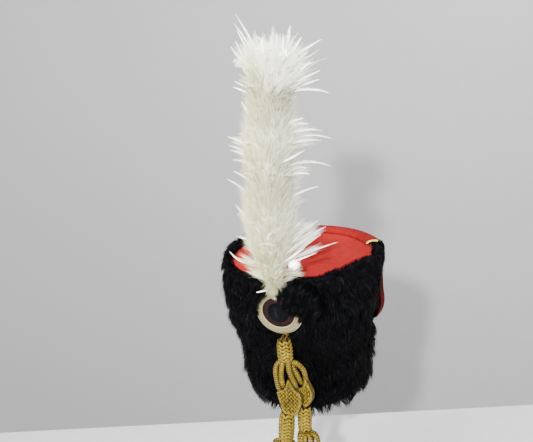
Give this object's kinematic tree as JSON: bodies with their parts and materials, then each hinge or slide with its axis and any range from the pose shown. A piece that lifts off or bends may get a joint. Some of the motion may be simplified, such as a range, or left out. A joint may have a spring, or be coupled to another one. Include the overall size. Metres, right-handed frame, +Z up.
{
  "type": "busby",
  "caption": "Flared black fur busby with a red cloth crown and side bag, tall white plume, round cockade and hanging gold cord ornament.",
  "frame": {"origin": "centre of the open lower rim, level with the rim's edge, where a head enters", "axes": "+Z up through the crown, -Y to the front where the cockade and the plume are, +X to the wearer's left"},
  "size_m": [0.2825, 0.3505, 0.711],
  "materials": {
    "stiff_felt": "matte felt",
    "black_fur": "long glossy hair",
    "red_cloth": "matte felted wool",
    "yellow_piping": "corded cloth",
    "ivory_braid": "ribbed braid",
    "maroon_silk": "folded silk",
    "blue_black_silk": "satin silk",
    "white_feather": "soft feather",
    "gold_cord": "metallic gold thread"
  },
  "bodies": {
    "root": {"cap_body": "stiff_felt", "fur_cover": "black_fur", "crown_cloth": "red_cloth", "bag": "red_cloth", "bag_piping": "yellow_piping", "cockade_ring": "ivory_braid", "cockade_band": "maroon_silk", "cockade_centre": "blue_black_silk", "plume": "white_feather", "hanger_loop": "gold_cord", "slider_top": "gold_cord", "slider_left": "gold_cord", "slider_right": "gold_cord", "strand_left_outer": "gold_cord", "strand_left_inner": "gold_cord", "strand_mid_left": "gold_cord", "strand_mid_right": "gold_cord", "strand_right": "gold_cord", "pad_left": "gold_cord", "pad_right": "gold_cord", "tassel_left": "gold_cord", "tassel_right": "gold_cord"}
  },
  "joints": []
}
